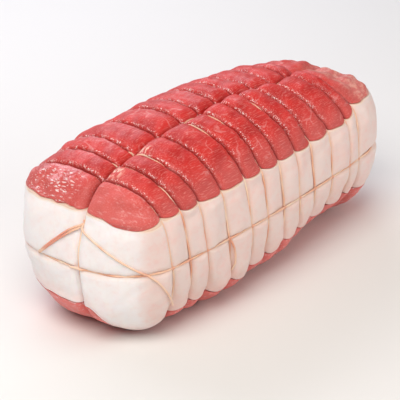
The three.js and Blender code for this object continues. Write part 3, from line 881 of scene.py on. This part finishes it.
# Loose twine laid over the fat: marks are turns round the near end in degrees, or places
# along the right side in mm, each with a height
def loosePath(marks, onSide=False):
    share = np.linspace(0, 1, 120)
    places = np.interp(share, np.linspace(0, 1, len(marks)), [mark[0] for mark in marks])[:, None]
    heights = np.interp(share, np.linspace(0, 1, len(marks)), [mark[1] for mark in marks])[:, None]
    angle = np.full_like(places, -math.pi / 2) if onSide else math.pi + np.radians(places)
    along = places if onSide else np.full_like(places, body["spineNear"])
    column = (along, np.cos(angle), np.sin(angle))
    points = columnPoint(column, heights, reachAtHeight(column, tiedValue, heights))
    return np.stack([part.ravel() for part in pushOut(points, twine["strandLift"])], axis=1)


# A turn of twine wrapped round another that runs the given way
def wrapRound(centre, way, tilt):
    way = way / np.linalg.norm(way)
    away = np.array(outward(*centre[:, None])).ravel()
    side = np.cross(way, away)
    side = side / np.linalg.norm(side)
    away = np.cross(side, way)
    angle = np.linspace(0, turn, 26, endpoint=False)[:, None]
    slope = math.tan(math.radians(tilt))
    spokes = np.cos(angle) * side + np.sin(angle) * away + slope * np.cos(angle) * way
    return plyTube(centre + twine["wrap"] * spokes, True, twine["wrapRadius"], spokes)


def wraps():
    draw = np.random.default_rng(45)
    height = np.full((1, 1), body["tieHeight"])
    made = []
    for hoop in tie["hoops"]:
        for angle in (-math.pi / 2, math.pi / 2):
            column = oneColumn(hoop, angle)
            spot = columnPoint(column, height, reachAtHeight(column, tiedValue, height))
            centre = settle(np.array([[float(part[0, 0]) for part in spot]]))[0]
            made.append(wrapRound(centre, np.array([1.0, 0, 0]), draw.uniform(-25, 25)))
    start = loosePath(twine["strandToRight"])[0]
    upright = np.array([0.1, 0, 1.0])
    for shift, tilt in twine["knotWraps"]:
        made.append(wrapRound(start + shift * upright, upright, tilt))
    return made


# One tube with three turning lobes for the three plies
def plyTube(points, closed, radius, spokes=None):
    if spokes is None:
        path, along = resampled(points, closed)
        away = np.stack(outward(*path.T), axis=1)
    else:
        path, along, away = points, np.linspace(0, twine["wrapLay"], len(points)), spokes
    count, sides = len(path), twine["sides"]
    if closed:
        tangent = np.roll(path, -1, axis=0) - np.roll(path, 1, axis=0)
    else:
        tangent = np.gradient(path, axis=0)
    tangent = tangent / np.linalg.norm(tangent, axis=1)[:, None]
    side = np.cross(tangent, away)
    side = side / np.linalg.norm(side, axis=1)[:, None]
    away = np.cross(side, tangent)
    around = np.linspace(0, turn, sides, endpoint=False)[None, :]
    twist = turn * along[:, None] / twine["pitch"]
    size = radius * (1 + twine["lobe"] * np.cos(twine["plies"] * (around - twist)))
    ring = (path[:, None, :] + (size * np.cos(around))[..., None] * side[:, None, :]
            + (size * np.sin(around) * twine["flatten"])[..., None] * away[:, None, :])
    rows = count if closed else count - 1
    row, place = np.meshgrid(np.arange(rows), np.arange(sides), indexing="ij")
    ahead, beside = (row + 1) % count, (place + 1) % sides
    faces = np.stack([row * sides + place, ahead * sides + place, ahead * sides + beside,
                      row * sides + beside], axis=-1).reshape(-1, 4).tolist()
    if not closed:
        faces.append(list(range(sides)))
        faces.append([(count - 1) * sides + i for i in range(sides)][::-1])
    return ring.reshape(-1, 3), faces


def buildTwine():
    tubes = [plyTube(hoopPath(hoop), True, twine["radius"]) for hoop in tie["hoops"]]
    tubes.append(plyTube(sideTiePath(), True, twine["radius"]))
    tubes.append(plyTube(lengthTiePath(), True, twine["radius"]))
    for name in ("strandToRight", "strandToLeft", "strandBeside"):
        tubes.append(plyTube(loosePath(twine[name]), False, twine["radius"]))
    tubes.append(plyTube(loosePath(twine["slackPair"], True), False, twine["radius"]))
    tubes.extend(wraps())
    points, faces = [], []
    start = 0
    for tubePoints, tubeFaces in tubes:
        points.append(tubePoints)
        faces.extend([[corner + start for corner in face] for face in tubeFaces])
        start += len(tubePoints)
    points = np.vstack(points)
    points[:, 2] = np.maximum(points[:, 2], twine["floorGap"])
    mesh = bpy.data.meshes.new("twine")
    mesh.from_pydata((points * mm).tolist(), [], faces)
    mesh.shade_smooth()
    piece = bpy.data.objects.new("butchers_twine", mesh)
    bpy.context.scene.collection.objects.link(piece)
    x, y, z = points.T
    gap, _ = hoopGap(alongHoops(x, y, z))
    reach = twine["stainReach"]
    paint(piece, "crossing", bell(0, reach, gap) * bell(body["tieHeight"], reach, z))
    paint(piece, "bloody", (x < twine["knotBefore"]) * patch(twine["knotPatch"], y, y, z))
    return piece


# Three-ply cotton twine, damp and stained by the meat, deepest where it is hitched
def twineMaterial():
    made = newMaterial("cotton_butchers_twine")
    spot = addNode(made, "TexCoord").outputs["Object"]
    grains = addGrains(made, spot, twine["grains"])
    crossing, bloody = [addNode(made, "Attribute", {"attribute_name": name}).outputs["Fac"]
                        for name in ("crossing", "bloody")]
    stops = [(0.34, twine["stain"]), (0.48, twine["cotton"]), (0.68, twine["pale"])]
    tint = addNode(made, "ValToRGB", {"stops": stops}, {"Fac": grains["patchy"]}).outputs["Color"]
    tint = layColours(made, tint, ((twine["stain"], 1, crossing), (twine["blood"], 0.55, bloody)))
    bump = addNode(made, "Bump", {"Strength": 0.4, "Distance": 0.12 * mm},
                   {"Height": grains["fuzz"]}).outputs[0]
    shader = addNode(made, "BsdfPrincipled", {
        "Roughness": 0.85, "Sheen Weight": 0.2, "Subsurface Weight": 0.3,
        "Subsurface Radius": (1.0, 0.6, 0.4), "Subsurface Scale": 0.6 * mm,
    }, {"Base Color": tint, "Normal": bump})
    return finishMaterial(made, shader)


twinePiece = buildTwine()
twinePiece.data.materials.append(twineMaterial())
print("twine made:", len(twinePiece.data.polygons), "faces")

for piece, node, slot in ((leanPiece, "lean_meat", "lean"), (fatPiece, "fat_belt", "fat"),
                          (twinePiece, "twine", "twine")):
    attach(piece, "root")
    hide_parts(node)
